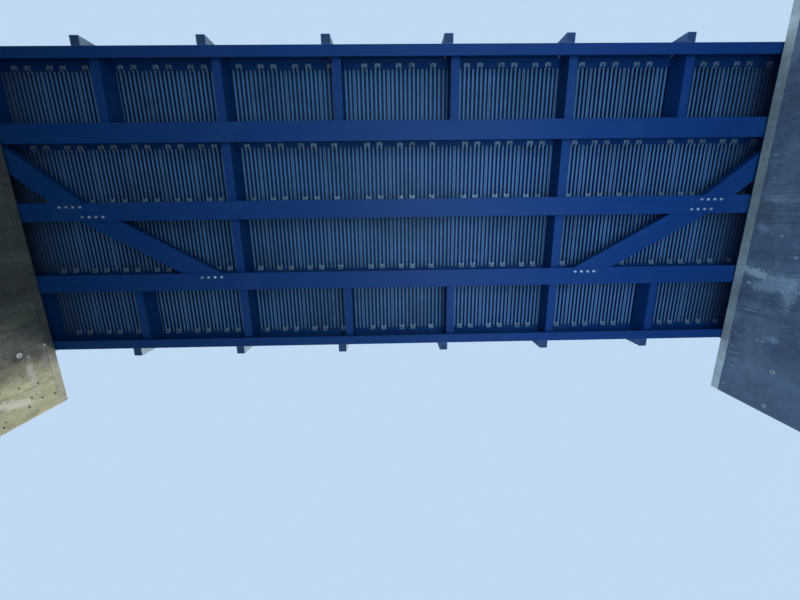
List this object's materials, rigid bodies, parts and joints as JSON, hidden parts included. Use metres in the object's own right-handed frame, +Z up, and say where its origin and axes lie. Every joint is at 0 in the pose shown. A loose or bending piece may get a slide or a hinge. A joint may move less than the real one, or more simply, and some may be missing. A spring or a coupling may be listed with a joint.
{
  "type": "fibreglass footbridge",
  "caption": "Short fibreglass footbridge on tall concrete abutments: I-beam and channel frame with diagonal braces, ribbed plank deck and railed parapets.",
  "frame": {"origin": "on the ground under mid-span, at the centre of the bounding box's base", "axes": "+X along the span, +Y across the deck towards the near side, +Z up"},
  "size_m": [8.305, 3.64, 6.144],
  "materials": {
    "abutment_concrete": "weathered board-marked concrete",
    "left_sill_concrete": "weathered concrete",
    "right_sill_concrete": "paler concrete",
    "bearing_rubber": "matt",
    "frame_grp": "satin dark blue pultruded fibreglass",
    "deck_grp": "satin pale grey-green pultruded fibreglass",
    "parapet_grp": "satin dark blue pultruded fibreglass"
  },
  "bodies": {
    "root": {"cleats_bay_1": "frame_grp", "cleats_bay_2": "frame_grp", "cleats_bay_3": "frame_grp", "cleats_bay_4": "frame_grp", "cross_members_bay_1": "frame_grp", "cross_members_bay_2": "frame_grp", "cross_members_bay_3": "frame_grp", "cross_members_bay_4": "frame_grp", "deck_planks_1": "deck_grp", "deck_planks_2": "deck_grp", "deck_planks_3": "deck_grp", "deck_planks_4": "deck_grp", "deck_planks_5": "deck_grp", "far_edge_beam": "frame_grp", "far_handrail": "parapet_grp", "far_inner_beam": "frame_grp", "far_kick_board": "parapet_grp", "far_mid_rail_1": "parapet_grp", "far_mid_rail_2": "parapet_grp", "far_mid_rail_3": "parapet_grp", "far_posts": "parapet_grp", "left_abutment": "abutment_concrete", "left_backwall": "abutment_concrete", "left_bearing_pads": "bearing_rubber", "left_bearing_sill": "left_sill_concrete", "left_far_brace": "frame_grp", "left_near_brace": "frame_grp", "middle_beam": "frame_grp", "near_edge_beam": "frame_grp", "near_handrail": "parapet_grp", "near_inner_beam": "frame_grp", "near_kick_board": "parapet_grp", "near_mid_rail_1": "parapet_grp", "near_mid_rail_2": "parapet_grp", "near_mid_rail_3": "parapet_grp", "near_posts": "parapet_grp", "right_abutment": "abutment_concrete", "right_backwall": "abutment_concrete", "right_bearing_pads": "bearing_rubber", "right_bearing_sill": "right_sill_concrete", "right_far_brace": "frame_grp", "right_near_brace": "frame_grp"}
  },
  "joints": []
}
